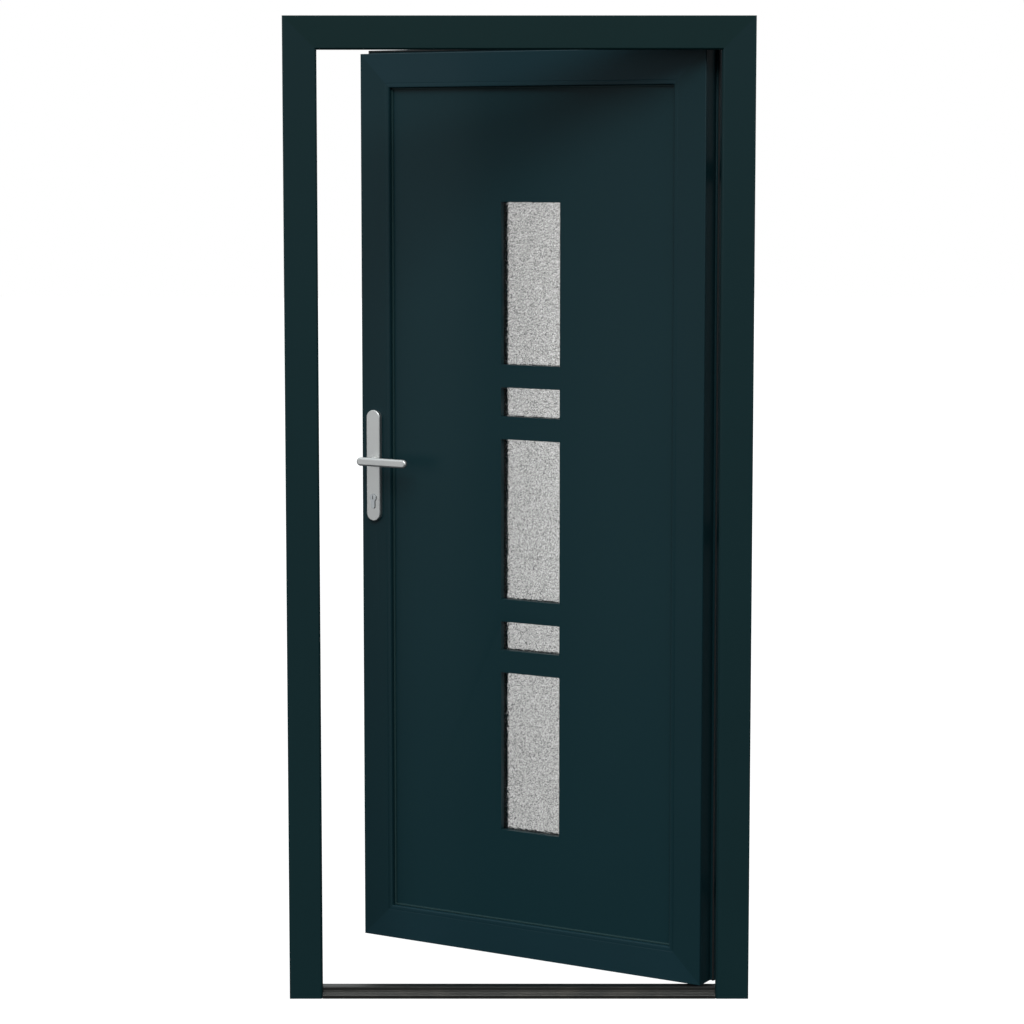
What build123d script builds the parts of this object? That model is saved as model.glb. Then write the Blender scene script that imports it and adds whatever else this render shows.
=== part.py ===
"""Panelled front door with its frame: a hollow-profile frame, a leaf with a flat infill panel and five
glazed slots, three lift-off hinges, lever handles and a key-wound lock with three bolts.

Millimetres. X runs to the right seen from outside, Y from outside to inside, Z up.
The origin is the middle of the threshold's underside. The leaf is drawn shut and then swung open.
"""

from build123d import *
import os

# Whole door
door_width = 980
door_height = 2080
open_angle = 30
overrun = 12
fit = 0.3
running = 0.1

# Frame profile: w runs from the wall side to the doorway, d from outside to inside
frame_face = 70
frame_depth = 70
frame_wall = 3
frame_lip = 20
frame_rebate = 13
frame_bevel_width = 3
frame_bevel_depth = 3
profile_round = 2
keep_chamber = 18
back_chamber = 14
frame_steel = 1.5

# Wall fixings
fixing_bore = 10.5
fixing_edge = 240
fixing_pitch = 500
fixing_depth = 35
head_fixing_pitch = 500

# Threshold
sill_nose_height = 7
sill_front_height = 13
sill_upstand_height = 21
sill_upstand_width = 4
sill_inner_height = 14
sill_wall = 2.5
sill_outer_depth = 33
sill_break_depth = 12
sill_rib_pitch = 4.5
sill_rib_count = 3
sill_rib_width = 1.6
sill_rib_height = 0.8
sill_groove_width = 5
sill_groove_depth = 3
foot_height = 45

# Leaf profile: u runs from the leaf's edge to its middle, v from its outside face to its inside face
leaf_lap = 8
leaf_top_lap = 6
leaf_floor_gap = 3.5
leaf_depth = 70
seal_gap = 3
seal_press = 0.3
sash_face = 75
sash_body = 52
sash_wall = 3
sash_lip = 12
sash_nose_width = 10
sash_nose_depth = 5
flange_depth = 20
flange_lap = 9
sash_front_chamber = 6
sash_main_chamber = 29
sash_steel = 2
seal_width = 5
flange_seal_share = 0.75

# Infill panel and its glazed slots
panel_depth = 30
panel_play = 5
panel_seal = 1
slot_width = 147
slot_short = 64
slot_gap = 50
slot_top_edge = 324.5
slot_bottom_edge = 281
short_slot_count = 2
slot_recess = 12
slot_seat = 8
pane_depth = 4
pane_spacer = 8
spacer_width = 6
retainer_rim = 12
retainer_depth = 4
bead_width = 20
bead_slope = 8
bead_round = 1.5

# Hinges
hinge_reach = 10
hinge_stand = 11
knuckle_radius = 10
knuckle_height = 45
hinge_pin_radius = 5
hinge_pin_cap = 4
hinge_plate = 4
hinge_plate_width = 38
hinge_plate_cut = 4
hinge_edge = 230
hinge_washer = 1
hinge_screw_edge = 11

# Screws
screw_shank = 4
screw_head = 8
screw_head_depth = 2.2
screw_length = 22
screw_sides = 12

# Lock, seen on the leaf's edge
lock_backset = 35
lever_height = 1112
faceplate_width = 16
faceplate_depth = 3
faceplate_end = 60
faceplate_round = 4
case_wall = 1.5
case_above = 82
case_below = 114
case_length = 43.5
bolt_thick = 12
bolt_edge = 1
dead_bolt_height = 25
dead_bolt_length = 30
dead_bolt_drop = 46
end_bolt_height = 18
upper_bolt_edge = 204
lower_bolt_edge = 394.5
end_case_half = 45
end_case_length = 37
latch_reach = 11
latch_height = 14
latch_length = 25
latch_rise = 23
latch_tail_height = 5
latch_tail_drop = 4
latch_hook_start = 28.5
latch_hook_width = 2.5
latch_hook_drop = 6
latch_bevel = 9
follower_radius = 10
follower_depth = 12
follower_arm = 18
follower_arm_width = 4
follower_arm_angle = 40
rod_width = 8
rod_depth = 3
rod_entry = 20
keep_depth = 1.5
keep_width = 24
keep_margin = 28
keep_clear = 1
keep_round = 6

# Cylinder
cylinder_drop = 85
cylinder_radius = 8.5
cylinder_tail = 24.5
cylinder_tail_width = 10
cylinder_proud = 2.5
plug_radius = 6
cam_width = 10
cam_radius = 9.5
cam_lobe_width = 4
keyway_width = 2
keyway_height = 8
keyway_depth = 20

# Handles
plate_length = 250
plate_width = 35
plate_thick = 10
plate_edge = 1.5
plate_drop = 13
plate_screw_pitch = 214
plate_screw_radius = 3
plate_screw_head = 5
plate_screw_head_depth = 2.5
plate_screw_bite = 6.7
spindle_side = 8
collar_radius = 10
collar_height = 6
neck_radius = 8
lever_stand = 53
lever_thick = 11
lever_tall = 19
lever_tail = 14
lever_length = 130
lever_round = 4.5

# Places that follow from the sizes above
half_width = door_width / 2
frame_front = -frame_depth / 2
frame_back = frame_depth / 2
rebate = frame_face - frame_rebate
rebate_half = half_width - rebate
lip_half = half_width - frame_face
leaf_half = lip_half + leaf_lap
leaf_front = frame_front + frame_lip + seal_gap
leaf_back = leaf_front + leaf_depth
leaf_bottom = sill_inner_height + leaf_floor_gap
leaf_top = door_height - frame_face + leaf_top_lap
leaf_height = leaf_top - leaf_bottom
leaf_middle = (leaf_top + leaf_bottom) / 2
hinge_x = leaf_half + hinge_reach
hinge_y = leaf_back + hinge_stand
panel_front = leaf_front + sash_lip + panel_seal
panel_back = panel_front + panel_depth
main_front = sash_wall + sash_front_chamber + sash_wall
main_back = main_front + sash_main_chamber
lock_line = leaf_front + (main_front + main_back) / 2
lock_x = -leaf_half + lock_backset
cylinder_height = lever_height - cylinder_drop
plate_height = lever_height - plate_drop
leaf_open = Pos(hinge_x, hinge_y, 0) * Rot(0, 0, -open_angle) * Pos(-hinge_x, -hinge_y, 0)

# Heights at which things sit: hinges, bolts and the keeps that take the bolts
hinge_heights = [leaf_bottom + hinge_edge, leaf_middle, leaf_top - hinge_edge]
frame_plate_x = hinge_x + knuckle_radius + hinge_plate_width / 2
leaf_plate_x = hinge_x - knuckle_radius - hinge_plate_width / 2
upper_height = leaf_top - upper_bolt_edge
lower_height = leaf_bottom + lower_bolt_edge
dead_height = lever_height - dead_bolt_drop
latch_z = lever_height + latch_rise
bolt_places = [
    (upper_height, end_bolt_height),
    (lower_height, end_bolt_height),
    (dead_height, dead_bolt_height),
    (latch_z, latch_height),
]
end_keep_half = end_bolt_height / 2 + keep_margin
keep_spans = {
    "upper_keep": (upper_height - end_keep_half, upper_height + end_keep_half),
    "lower_keep": (lower_height - end_keep_half, lower_height + end_keep_half),
    "centre_keep": (dead_height - end_keep_half, latch_z + latch_height / 2 + keep_margin),
}

os.makedirs("parts", exist_ok=True)


def save(piece, name):
    """Write a piece that stays with the frame."""
    piece.label = name
    export_step(piece, f"parts/{name}.step")


def save_on_leaf(piece, name):
    """Write a piece of the leaf, swung open about the hinge axis."""
    save(leaf_open * piece, name)


def block(x_range, y_range, z_range, mode=Mode.ADD):
    """A plain rectangular solid between two limits along each axis."""
    middle = [(low + high) / 2 for low, high in (x_range, y_range, z_range)]
    lengths = [high - low for low, high in (x_range, y_range, z_range)]
    with Locations(tuple(middle)):
        Box(*lengths, mode=mode)


def chamber(w_range, d_range):
    """A rectangular chamber cut from a profile's section."""
    middle = [(low + high) / 2 for low, high in (w_range, d_range)]
    with Locations(tuple(middle)):
        Rectangle(w_range[1] - w_range[0], d_range[1] - d_range[0], mode=Mode.SUBTRACT)


def bar_across(radius, x, z, y_range, mode=Mode.ADD):
    """A round bar or bore along Y."""
    with BuildSketch(Plane((x, y_range[0], z), x_dir=(1, 0, 0), z_dir=(0, 1, 0))) as disc:
        Circle(radius)
    extrude(disc.sketch, amount=y_range[1] - y_range[0], mode=mode)


# Planes on which the frame's section is drawn, each with w along its x and d along its y
lock_jamb_end = Plane((-half_width, frame_front, 0), x_dir=(1, 0, 0), z_dir=(0, 0, 1))
hinge_jamb_end = Plane((half_width, frame_front, door_height), x_dir=(-1, 0, 0), z_dir=(0, 0, -1))
head_end = Plane((-half_width, frame_front, door_height), x_dir=(0, 0, -1), z_dir=(1, 0, 0))
head_mitre_left = Plane((-half_width, 0, door_height), z_dir=(1, 0, 1))
head_mitre_right = Plane((half_width, 0, door_height), z_dir=(-1, 0, 1))
main_chamber_back = frame_depth - frame_wall - back_chamber - frame_wall
main_chamber_side = rebate - frame_wall - keep_chamber - frame_wall


def frame_section(plane):
    """Hollow frame profile with rounded corners: a lip that stops the leaf, and five chambers."""
    with BuildSketch(plane) as section:
        with BuildLine():
            Polyline(
                (0, 0),
                (frame_face - frame_bevel_width, 0),
                (frame_face, frame_bevel_depth),
                (frame_face, frame_lip),
                (rebate, frame_lip),
                (rebate, frame_depth),
                (0, frame_depth),
                close=True,
            )
        make_face()
        fillet(section.vertices(), radius=profile_round)
        chamber((frame_wall, rebate - frame_wall), (frame_wall, frame_lip - frame_wall))
        chamber((rebate, frame_face - frame_wall), (frame_bevel_depth + frame_wall, frame_lip - frame_wall))
        chamber((frame_wall, main_chamber_side), (frame_lip, main_chamber_back))
        chamber((frame_wall, main_chamber_side), (main_chamber_back + frame_wall, frame_depth - frame_wall))
        chamber((main_chamber_side + frame_wall, rebate - frame_wall), (frame_lip, frame_depth - frame_wall))
    return section.sketch


def steel_section(plane):
    """Square steel tube inside the frame's main chamber."""
    width = main_chamber_side - frame_wall - fit - fit
    depth = main_chamber_back - frame_lip - fit - fit
    middle = ((frame_wall + main_chamber_side) / 2, (frame_lip + main_chamber_back) / 2)
    with BuildSketch(plane) as section:
        with Locations(middle):
            Rectangle(width, depth)
            walls = frame_steel + frame_steel
            Rectangle(width - walls, depth - walls, mode=Mode.SUBTRACT)
    return section.sketch


def fixing_heights():
    """Heights of the wall fixings in a jamb: a pair near the foot and a pair near the head."""
    low = [fixing_edge, fixing_edge + fixing_pitch]
    return low + [door_height - height for height in reversed(low)]


def jamb_fixings(side):
    """Bores through a jamb for the wall fixings, seen from the wall on one side."""
    for height in fixing_heights():
        place = (side * half_width, frame_front + fixing_depth, height)
        with BuildSketch(Plane(place, z_dir=(-side, 0, 0))) as bore:
            Circle(fixing_bore / 2)
        extrude(bore.sketch, amount=frame_face, mode=Mode.SUBTRACT)


def head_fixings():
    """Bores through the head for its pair of wall fixings."""
    for side in (-1, 1):
        place = (side * head_fixing_pitch / 2, frame_front + fixing_depth, door_height)
        with BuildSketch(Plane(place, z_dir=(0, 0, -1))) as bore:
            Circle(fixing_bore / 2)
        extrude(bore.sketch, amount=frame_face, mode=Mode.SUBTRACT)


def bolt_pockets(x_range, clear):
    """Pockets for the latch and the bolts, each larger than its bolt by the clearance."""
    for height, tall in bolt_places:
        block(
            x_range,
            (lock_line - bolt_thick / 2 - clear, lock_line + bolt_thick / 2 + clear),
            (height - tall / 2 - clear, height + tall / 2 + clear),
            mode=Mode.SUBTRACT,
        )


def screw_places():
    """Seats of the countersunk screws as (place, inward direction), for the frame and for the leaf."""
    on_frame = []
    on_leaf = []
    for height in hinge_heights:
        for z in (height - hinge_screw_edge, height - knuckle_height + hinge_screw_edge):
            on_frame.append(((frame_plate_x, frame_back + hinge_plate, z), (0, -1, 0)))
        leaf_low = height + hinge_washer
        for z in (leaf_low + hinge_screw_edge, leaf_low + knuckle_height - hinge_screw_edge):
            on_leaf.append(((leaf_plate_x, leaf_back + hinge_plate, z), (0, -1, 0)))
    for low, high in keep_spans.values():
        for z in (low + hinge_screw_edge, high - hinge_screw_edge):
            on_frame.append(((-rebate_half + keep_depth, lock_line, z), (-1, 0, 0)))
    return on_frame, on_leaf


def screw(place, inward, clear=0, mode=Mode.ADD):
    """Countersunk screw with its head flush with the surface, or the bore for it."""
    seat = Plane(place, z_dir=inward)
    neck = seat.offset(screw_head_depth)
    with BuildSketch(seat) as head_top:
        RegularPolygon(screw_head / 2 + clear, screw_sides)
    with BuildSketch(neck) as shank:
        RegularPolygon(screw_shank / 2 + clear, screw_sides)
    loft([head_top.sketch, shank.sketch], ruled=True, mode=mode)
    extrude(shank.sketch, amount=screw_length - screw_head_depth + clear, mode=mode)


def screw_bore(place, inward):
    """Countersunk hole for a screw."""
    screw(place, inward, clear=running, mode=Mode.SUBTRACT)


frame_screw_places, leaf_screw_places = screw_places()

# Frame: two jambs and a head, mitred and welded at the top corners
with BuildPart() as lock_jamb:
    extrude(frame_section(lock_jamb_end), amount=door_height)
    split(bisect_by=head_mitre_left, keep=Keep.BOTTOM)
    jamb_fixings(-1)
    bolt_pockets((-rebate_half - frame_wall - fit, -rebate_half + fit), keep_clear)
    for place, inward in frame_screw_places:
        screw_bore(place, inward)
save(lock_jamb.part, "frame_lock_jamb")

with BuildPart() as hinge_jamb:
    extrude(frame_section(hinge_jamb_end), amount=door_height)
    split(bisect_by=head_mitre_right, keep=Keep.BOTTOM)
    jamb_fixings(1)
    for place, inward in frame_screw_places:
        screw_bore(place, inward)
save(hinge_jamb.part, "frame_hinge_jamb")

with BuildPart() as head:
    extrude(frame_section(head_end), amount=door_width)
    split(bisect_by=head_mitre_left, keep=Keep.TOP)
    split(bisect_by=head_mitre_right, keep=Keep.TOP)
    head_fixings()
save(head.part, "frame_head")

# Steel tubes in the frame's main chambers, square cut and short of the corner welds
steel_short = main_chamber_side + frame_wall
with BuildPart() as frame_steels:
    extrude(steel_section(lock_jamb_end), amount=door_height - steel_short)
    jamb_fixings(-1)
    extrude(steel_section(hinge_jamb_end.offset(steel_short)), amount=door_height - steel_short)
    jamb_fixings(1)
    extrude(steel_section(head_end.offset(steel_short)), amount=door_width - steel_short - steel_short)
    head_fixings()
save(frame_steels.part, "frame_reinforcement")

# Weather seal on the back of the frame's lip, with a lower run on the threshold's upstand
seal_inset = (frame_face - rebate - leaf_lap) / 2
seal_outer = frame_face - seal_inset - seal_width
seal_y = (frame_front + frame_lip, leaf_front - seal_press)
with BuildPart() as frame_seal:
    seal_half = half_width - seal_outer
    seal_top = door_height - seal_outer
    block((-seal_half, seal_half), seal_y, (leaf_bottom, seal_top))
    block(
        (-seal_half + seal_width, seal_half - seal_width),
        (seal_y[0] - overrun, seal_y[1] + overrun),
        (sill_upstand_height, seal_top - seal_width),
        mode=Mode.SUBTRACT,
    )
save(frame_seal.part, "frame_gasket")

# Threshold: an outer and an inner aluminium section joined by a plastic strip that stops the cold
sill_half = rebate_half - fit
sill_front_half = lip_half - fit
upstand_back = frame_front + frame_lip
upstand_front = upstand_back - sill_upstand_width
outer_end = frame_front + sill_outer_depth
break_end = outer_end + sill_break_depth
groove_start = upstand_back + sill_groove_width
sill_end = Plane((-sill_half, 0, 0), x_dir=(0, 1, 0), z_dir=(1, 0, 0))

with BuildPart() as sill_outer:
    with BuildSketch(sill_end):
        with BuildLine():
            Polyline(
                (frame_front, 0),
                (frame_front, sill_nose_height),
                (upstand_front, sill_front_height),
                (upstand_front, sill_upstand_height),
                (upstand_back, sill_upstand_height),
                (upstand_back, sill_inner_height),
                (groove_start, sill_inner_height),
                (groove_start, sill_inner_height - sill_groove_depth),
                (groove_start + sill_groove_width, sill_inner_height - sill_groove_depth),
                (groove_start + sill_groove_width, sill_inner_height),
                (outer_end, sill_inner_height),
                (outer_end, 0),
                close=True,
            )
        make_face()
        chamber(
            (upstand_front, outer_end - sill_wall),
            (sill_wall, sill_inner_height - sill_groove_depth - sill_wall),
        )
        slope = (sill_front_height - sill_nose_height) / (upstand_front - frame_front)
        for rib in range(sill_rib_count):
            y = frame_front + sill_rib_pitch * rib + sill_rib_width
            z = sill_nose_height + slope * (y - frame_front)
            with Locations((y, z)):
                Rectangle(sill_rib_width, sill_rib_height + sill_rib_height)
    extrude(amount=sill_half + sill_half)
    for side in (-1, 1):
        block(
            sorted((side * sill_front_half, side * (sill_half + overrun))),
            (frame_front - overrun, upstand_back + fit),
            (-overrun, sill_upstand_height + overrun),
            mode=Mode.SUBTRACT,
        )
save(sill_outer.part, "threshold_outer")

with BuildPart() as sill_break:
    with BuildSketch(sill_end):
        with BuildLine():
            Polyline(
                (outer_end, 0),
                (outer_end, sill_inner_height),
                (break_end, sill_inner_height),
                (break_end, 0),
                close=True,
            )
        make_face()
        chamber((outer_end + sill_wall, break_end - sill_wall), (sill_wall, sill_inner_height - sill_wall))
    extrude(amount=sill_half + sill_half)
save(sill_break.part, "threshold_break")

with BuildPart() as sill_inner:
    with BuildSketch(sill_end):
        with BuildLine():
            Polyline(
                (break_end, 0),
                (break_end, sill_inner_height),
                (frame_back - sill_wall, sill_inner_height),
                (frame_back, sill_inner_height - sill_wall),
                (frame_back, 0),
                close=True,
            )
        make_face()
        chamber(
            (break_end + sill_wall, frame_back - sill_wall),
            (sill_wall, sill_inner_height - sill_wall),
        )
    extrude(amount=sill_half + sill_half)
save(sill_inner.part, "threshold_inner")

# Plastic feet plugged into the jambs, which close their chambers at the floor and hold the threshold
with BuildPart() as jamb_feet:
    foot_y = (frame_front + frame_lip + fit, frame_back - frame_wall - fit)
    foot_near = half_width - main_chamber_side - frame_wall - fit
    foot_far = rebate_half + frame_wall + fit
    for side in (-1, 1):
        foot_x = sorted((side * foot_near, side * foot_far))
        block(foot_x, foot_y, (0, foot_height))
        block(
            (foot_x[0] + frame_wall, foot_x[1] - frame_wall),
            (foot_y[0] + frame_wall, foot_y[1] - frame_wall),
            (frame_wall, foot_height + overrun),
            mode=Mode.SUBTRACT,
        )
save(jamb_feet.part, "jamb_feet")

# Keep plates screwed to the rebate of the lock jamb
for name, (low, high) in keep_spans.items():
    with BuildPart() as keep:
        block(
            (-rebate_half, -rebate_half + keep_depth),
            (lock_line - keep_width / 2, lock_line + keep_width / 2),
            (low, high),
        )
        fillet(keep.edges().filter_by(Axis.X), radius=keep_round)
        bolt_pockets((-rebate_half - fit, -rebate_half + keep_depth + fit), keep_clear)
        for place, inward in frame_screw_places:
            screw_bore(place, inward)
    save(keep.part, name)

# Lift-off hinges: the lower knuckle and the pin stay on the frame, the upper knuckle is on the leaf
for number, height in enumerate(hinge_heights, start=1):
    with BuildPart() as frame_hinge:
        with BuildSketch(Plane.XY.offset(height - knuckle_height)):
            with Locations((hinge_x, hinge_y)):
                Circle(knuckle_radius)
            edge = hinge_x + knuckle_radius
            with Locations((edge - hinge_plate / 2, (frame_back + hinge_y) / 2)):
                Rectangle(hinge_plate, hinge_y - frame_back)
            with Locations((edge - hinge_plate + hinge_plate_width / 2, frame_back + hinge_plate / 2)):
                Rectangle(hinge_plate_width + hinge_plate, hinge_plate)
            with Locations((hinge_x, hinge_y)):
                Circle(hinge_pin_radius + running, mode=Mode.SUBTRACT)
        extrude(amount=knuckle_height)
        chamfer(frame_hinge.edges().filter_by(Axis.Y).sort_by(Axis.X)[-2:], length=hinge_plate_cut)
        for place, inward in frame_screw_places:
            screw_bore(place, inward)
    save(frame_hinge.part, f"frame_hinge_{number}")

    with BuildPart() as hinge_pin:
        with BuildSketch(Plane.XY.offset(height - knuckle_height)):
            with Locations((hinge_x, hinge_y)):
                Circle(hinge_pin_radius)
        extrude(amount=knuckle_height + hinge_washer + knuckle_height + fit)
        with BuildSketch(Plane.XY.offset(height + hinge_washer + knuckle_height + fit)):
            with Locations((hinge_x, hinge_y)):
                Circle(knuckle_radius)
        extrude(amount=hinge_pin_cap)
        chamfer(hinge_pin.faces().sort_by(Axis.Z)[-1].edges(), length=hinge_pin_cap / 2)
    save(hinge_pin.part, f"hinge_pin_{number}")

    with BuildPart() as leaf_hinge:
        with BuildSketch(Plane.XY.offset(height + hinge_washer)):
            with Locations((hinge_x, hinge_y)):
                Circle(knuckle_radius)
            with Locations((hinge_x - (hinge_plate_width + knuckle_radius) / 2, leaf_back + hinge_plate / 2)):
                Rectangle(hinge_plate_width + knuckle_radius, hinge_plate)
            with Locations((hinge_x, hinge_y)):
                Circle(hinge_pin_radius + running, mode=Mode.SUBTRACT)
        extrude(amount=knuckle_height)
        chamfer(leaf_hinge.edges().filter_by(Axis.Y).sort_by(Axis.X)[:2], length=hinge_plate_cut)
        for place, inward in leaf_screw_places:
            screw_bore(place, inward)
    save_on_leaf(leaf_hinge.part, f"leaf_hinge_{number}")

with BuildPart() as frame_screws:
    for place, inward in frame_screw_places:
        screw(place, inward)
save(frame_screws.part, "frame_screws")

with BuildPart() as leaf_screws:
    for place, inward in leaf_screw_places:
        screw(place, inward)
save_on_leaf(leaf_screws.part, "leaf_screws")

# Planes on which the sash's section is drawn, each with u along its x and v along its y
sash_over = flange_lap + overrun
stile_length = leaf_height + sash_over + sash_over
rail_length = leaf_half + leaf_half + sash_over + sash_over
lock_stile_end = Plane((-leaf_half, leaf_front, leaf_bottom - sash_over), x_dir=(1, 0, 0), z_dir=(0, 0, 1))
hinge_stile_end = Plane((leaf_half, leaf_front, leaf_top + sash_over), x_dir=(-1, 0, 0), z_dir=(0, 0, -1))
top_rail_end = Plane((-leaf_half - sash_over, leaf_front, leaf_top), x_dir=(0, 0, -1), z_dir=(1, 0, 0))
bottom_rail_end = Plane((leaf_half + sash_over, leaf_front, leaf_bottom), x_dir=(0, 0, 1), z_dir=(-1, 0, 0))
mitre_top_left = Plane((-leaf_half, 0, leaf_top), z_dir=(1, 0, 1))
mitre_top_right = Plane((leaf_half, 0, leaf_top), z_dir=(-1, 0, 1))
mitre_bottom_left = Plane((-leaf_half, 0, leaf_bottom), z_dir=(1, 0, -1))
mitre_bottom_right = Plane((leaf_half, 0, leaf_bottom), z_dir=(-1, 0, -1))
leaf_foot = Plane((0, 0, leaf_bottom), z_dir=(0, 0, 1))
sash_inner = sash_body - sash_wall


def sash_section(plane, overhang):
    """Hollow sash profile with a sloped nose. The overhang is its flange, which laps the frame inside."""
    flange_front = leaf_depth - flange_depth
    edge = [(0, leaf_depth)]
    if overhang:
        edge = [(-overhang, leaf_depth), (-overhang, flange_front), (0, flange_front)]
    with BuildSketch(plane) as section:
        with BuildLine():
            Polyline(
                (0, 0),
                (sash_face - sash_nose_width, 0),
                (sash_face, sash_nose_depth),
                (sash_face, sash_lip),
                (sash_body, sash_lip),
                (sash_body, leaf_depth),
                *edge,
                close=True,
            )
        make_face()
        fillet(section.vertices(), radius=profile_round)
        chamber((sash_wall, sash_inner), (sash_wall, main_front - sash_wall))
        chamber((sash_wall, sash_inner), (main_front, main_back))
        chamber((sash_wall, sash_inner), (main_back + sash_wall, leaf_depth - sash_wall))
        chamber((sash_body, sash_face - sash_nose_width), (sash_wall, sash_lip - sash_wall))
        if overhang:
            chamber((sash_wall - overhang, 0), (flange_front + sash_wall, leaf_depth - sash_wall))
    return section.sketch


def sash_steel_section(plane):
    """Steel channel in the sash's main chamber, open to the leaf's edge."""
    with BuildSketch(plane) as section:
        with BuildLine():
            Polyline(
                (sash_wall + fit, main_front + fit),
                (sash_inner - fit, main_front + fit),
                (sash_inner - fit, main_back - fit),
                (sash_wall + fit, main_back - fit),
                (sash_wall + fit, main_back - fit - sash_steel),
                (sash_inner - fit - sash_steel, main_back - fit - sash_steel),
                (sash_inner - fit - sash_steel, main_front + fit + sash_steel),
                (sash_wall + fit, main_front + fit + sash_steel),
                close=True,
            )
        make_face()
    return section.sketch


def cylinder_outline(y, clear):
    """Outline of a profile cylinder across Y: a round barrel over a narrow tail."""
    with BuildSketch(Plane((lock_x, y, cylinder_height), x_dir=(-1, 0, 0), z_dir=(0, 1, 0))) as outline:
        Circle(cylinder_radius + clear)
        tail_end = cylinder_tail - cylinder_tail_width / 2
        with Locations((0, -tail_end / 2)):
            Rectangle(cylinder_tail_width + clear + clear, tail_end)
        with Locations((0, -tail_end)):
            Circle(cylinder_tail_width / 2 + clear)
    return outline.sketch


def lock_bores(y_range):
    """Bores through the leaf for the spindle, the cylinder and the handles' screws."""
    bar_across(follower_radius, lock_x, lever_height, y_range, mode=Mode.SUBTRACT)
    extrude(cylinder_outline(y_range[0], fit), amount=y_range[1] - y_range[0], mode=Mode.SUBTRACT)
    for side in (-1, 1):
        height = plate_height + side * plate_screw_pitch / 2
        bar_across(plate_screw_radius + fit, lock_x, height, y_range, mode=Mode.SUBTRACT)


through_leaf = (leaf_front - overrun, leaf_back + overrun)
faceplate_z = (lower_height - faceplate_end, upper_height + faceplate_end)
faceplate_y = (lock_line - faceplate_width / 2, lock_line + faceplate_width / 2)

# Leaf: two stiles and two rails, mitred and welded
with BuildPart() as lock_stile:
    extrude(sash_section(lock_stile_end, flange_lap), amount=stile_length)
    split(bisect_by=mitre_top_left, keep=Keep.BOTTOM)
    split(bisect_by=mitre_bottom_left, keep=Keep.BOTTOM)
    split(bisect_by=leaf_foot, keep=Keep.TOP)
    lock_bores(through_leaf)
    block(
        (-leaf_half - overrun, -leaf_half + sash_wall + running),
        (faceplate_y[0] - running, faceplate_y[1] + running),
        (faceplate_z[0] - running, faceplate_z[1] + running),
        mode=Mode.SUBTRACT,
    )
save_on_leaf(lock_stile.part, "leaf_lock_stile")

with BuildPart() as hinge_stile:
    extrude(sash_section(hinge_stile_end, flange_lap), amount=stile_length)
    split(bisect_by=mitre_top_right, keep=Keep.BOTTOM)
    split(bisect_by=mitre_bottom_right, keep=Keep.BOTTOM)
    split(bisect_by=leaf_foot, keep=Keep.TOP)
    for place, inward in leaf_screw_places:
        screw_bore(place, inward)
save_on_leaf(hinge_stile.part, "leaf_hinge_stile")

with BuildPart() as top_rail:
    extrude(sash_section(top_rail_end, flange_lap), amount=rail_length)
    split(bisect_by=mitre_top_left, keep=Keep.TOP)
    split(bisect_by=mitre_top_right, keep=Keep.TOP)
save_on_leaf(top_rail.part, "leaf_top_rail")

with BuildPart() as bottom_rail:
    extrude(sash_section(bottom_rail_end, 0), amount=rail_length)
    split(bisect_by=mitre_bottom_left, keep=Keep.TOP)
    split(bisect_by=mitre_bottom_right, keep=Keep.TOP)
save_on_leaf(bottom_rail.part, "leaf_bottom_rail")

# Steel channels in the sash, square cut and clear of the corner welds
stile_steel = leaf_height - sash_body - sash_body
rail_steel = leaf_half + leaf_half - sash_body - sash_body
steel_inset = sash_over + sash_body
with BuildPart() as leaf_steels:
    extrude(sash_steel_section(lock_stile_end.offset(steel_inset)), amount=stile_steel)
    lock_bores(through_leaf)
    extrude(sash_steel_section(hinge_stile_end.offset(steel_inset)), amount=stile_steel)
    extrude(sash_steel_section(top_rail_end.offset(steel_inset)), amount=rail_steel)
    extrude(sash_steel_section(bottom_rail_end.offset(steel_inset)), amount=rail_steel)
save_on_leaf(leaf_steels.part, "leaf_reinforcement")

# Infill panel: a flat sandwich board with five slots, each stepped to take its glass from inside
panel_edge = sash_body + panel_play
slot_low = leaf_bottom + slot_bottom_edge
slots_height = leaf_top - slot_top_edge - slot_low
gaps_height = slot_gap * (short_slot_count + short_slot_count)
tall_slot_count = short_slot_count + 1
slot_tall = (slots_height - gaps_height - slot_short * short_slot_count) / tall_slot_count
slot_spans = []
for tall in [slot_tall, slot_short] * short_slot_count + [slot_tall]:
    slot_spans.append((slot_low, slot_low + tall))
    slot_low = slot_low + tall + slot_gap
glass_front = panel_front + slot_recess
glass_back = glass_front + pane_depth + pane_spacer + pane_depth


def slot_block(span, grow, y_range, mode=Mode.ADD):
    """A block over one slot, larger than the slot by the same amount all round."""
    half = slot_width / 2 + grow
    block((-half, half), y_range, (span[0] - grow, span[1] + grow), mode=mode)


with BuildPart() as infill_panel:
    block(
        (-leaf_half + panel_edge, leaf_half - panel_edge),
        (panel_front, panel_back),
        (leaf_bottom + panel_edge, leaf_top - panel_edge),
    )
    for span in slot_spans:
        slot_block(span, 0, (panel_front - overrun, panel_back + overrun), mode=Mode.SUBTRACT)
        slot_block(span, slot_seat, (glass_front, panel_back + overrun), mode=Mode.SUBTRACT)
save_on_leaf(infill_panel.part, "infill_panel")

# Glazing: two panes and a spacer in each slot, held from inside by a clipped retainer frame
for number, span in enumerate(slot_spans, start=1):
    with BuildPart() as glass_unit:
        slot_block(span, slot_seat - fit, (glass_front, glass_front + pane_depth))
        slot_block(span, slot_seat - fit, (glass_back - pane_depth, glass_back))
    save_on_leaf(glass_unit.part, f"glass_unit_{number}")

with BuildPart() as glass_spacers:
    spacer_y = (glass_front + pane_depth, glass_back - pane_depth)
    for span in slot_spans:
        slot_block(span, slot_seat - fit, spacer_y)
        slot_block(span, slot_seat - fit - spacer_width, spacer_y, mode=Mode.SUBTRACT)
save_on_leaf(glass_spacers.part, "glass_spacers")

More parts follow.
